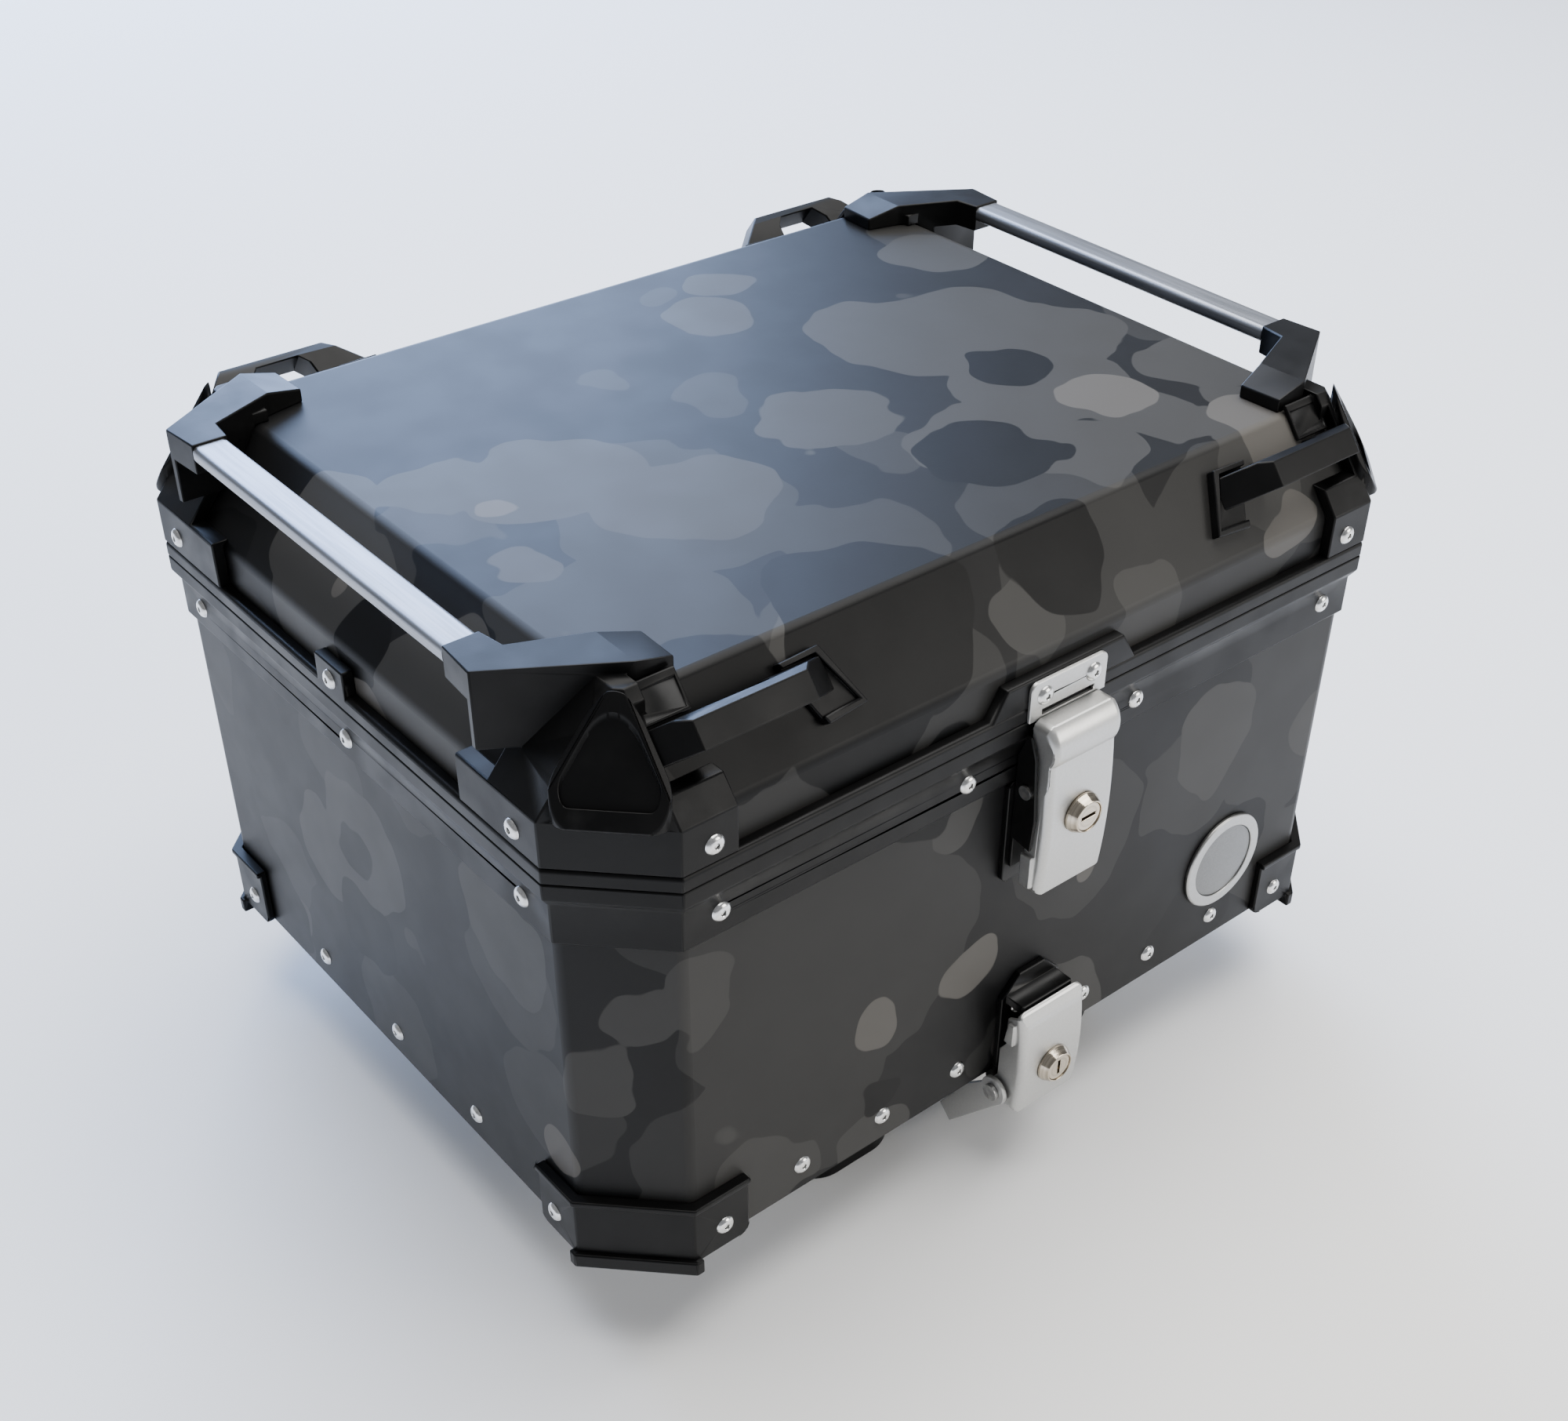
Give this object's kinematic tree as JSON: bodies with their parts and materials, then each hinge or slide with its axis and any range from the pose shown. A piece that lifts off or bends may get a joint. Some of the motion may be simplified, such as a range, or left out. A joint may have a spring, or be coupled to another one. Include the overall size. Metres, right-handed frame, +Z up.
{
  "type": "top case",
  "caption": "Chamfered sheet-aluminium motorcycle top case with hinged lid, corner castings with tie-down loops, side rails, a locking rocker latch and a locking rack claw.",
  "frame": {"origin": "centre of the plane through the undersides of the two runners, on which the case stands", "axes": "+Z up, front with both latches towards -Y, +X to the right seen from the front"},
  "size_m": [0.5, 0.4338, 0.359],
  "materials": {
    "camo_paint": "satin fine-textured camouflage-style paint in four soft tones",
    "black_plastic": "fine grained moulded black",
    "latch_black": "semi-matt black coat",
    "satin_silver": "satin",
    "steel": "zinc plated",
    "rivet_aluminium": "bright",
    "lock_nickel": "warm nickel plate",
    "bare_aluminium": "mill finish",
    "badge_silver": "silver",
    "badge_grey": "grey, domed",
    "rubber": "matt",
    "brass": "plain"
  },
  "bodies": {
    "case": {"body_shell": "camo_paint", "bottom_panel": "bare_aluminium", "body_rim": "black_plastic", "bottom_rivets": "rivet_aluminium", "band_rivets": "rivet_aluminium", "protector_front_left": "black_plastic", "protector_front_right": "black_plastic", "protector_back_left": "black_plastic", "protector_back_right": "black_plastic", "protector_rivets": "rivet_aluminium", "mounting_base": "black_plastic", "rack_inserts": "brass", "base_screws": "steel", "emblem_ring": "badge_silver", "emblem_disc": "badge_grey", "latch_backplate": "latch_black", "latch_bracket": "latch_black", "latch_bracket_rivets": "rivet_aluminium", "latch_pivot_pin": "steel", "latch_spring": "steel", "rack_latch_housing": "latch_black", "rack_latch_rivets": "rivet_aluminium", "rack_latch_pin": "steel", "hinge_body_leaves": "latch_black", "hinge_pins": "steel", "hinge_body_rivets": "rivet_aluminium"},
    "lid": {"lid_shell": "camo_paint", "lid_rim": "black_plastic", "lid_seal": "rubber", "lid_corner_front_left": "black_plastic", "lid_corner_front_right": "black_plastic", "lid_corner_back_left": "black_plastic", "lid_corner_back_right": "black_plastic", "lid_corner_rivets": "rivet_aluminium", "lid_tab_rivets": "rivet_aluminium", "rail_left": "satin_silver", "rail_right": "satin_silver", "corner_screws": "steel", "keeper_plate": "satin_silver", "keeper_rivets": "rivet_aluminium", "hinge_lid_leaves": "latch_black", "hinge_lid_rivets": "rivet_aluminium"},
    "latch": {"latch_cover": "satin_silver", "latch_lock_barrel": "lock_nickel"},
    "latch_lock": {"latch_lock_plug": "lock_nickel", "latch_lock_cam": "steel"},
    "rack_lever": {"rack_lever_cover": "satin_silver", "rack_claw_pins": "steel", "rack_lock_barrel": "lock_nickel"},
    "rack_lock": {"rack_lock_plug": "lock_nickel", "rack_lock_cam": "steel"},
    "rack_claw": {"rack_claw": "satin_silver"}
  },
  "joints": [
    {"name": "lid_hinge", "type": "hinge", "parent": "case", "child": "lid", "pos_m": [0, 0.206, 0.278], "axis": [-1, 0, 0], "range_deg": [0, 95]},
    {"name": "latch_press", "type": "hinge", "parent": "case", "child": "latch", "pos_m": [0, -0.206, 0.243], "axis": [1, 0, 0], "range_deg": [0, 6], "stiffness_Nm_per_rad": 0.5, "springref_deg": -2.86},
    {"name": "latch_lock_turn", "type": "hinge", "parent": "latch", "child": "latch_lock", "pos_m": [0, -0.2234, 0.2285], "axis": [0, 1, 0], "range_deg": [0, 90]},
    {"name": "rack_lever_swing", "type": "hinge", "parent": "case", "child": "rack_lever", "pos_m": [0, -0.198, 0.049], "axis": [1, 0, 0], "range_deg": [0, 80]},
    {"name": "rack_claw_swing", "type": "hinge", "parent": "rack_lever", "child": "rack_claw", "pos_m": [0, -0.2035, 0.056], "axis": [1, 0, 0], "range_deg": [-80, 0]},
    {"name": "rack_lock_turn", "type": "hinge", "parent": "rack_lever", "child": "rack_lock", "pos_m": [0, -0.2234, 0.072], "axis": [0, 1, 0], "range_deg": [0, 90]}
  ],
  "couplings": [
    {"joint": "rack_claw_swing", "follows": "rack_lever_swing", "ratio": -1}
  ]
}
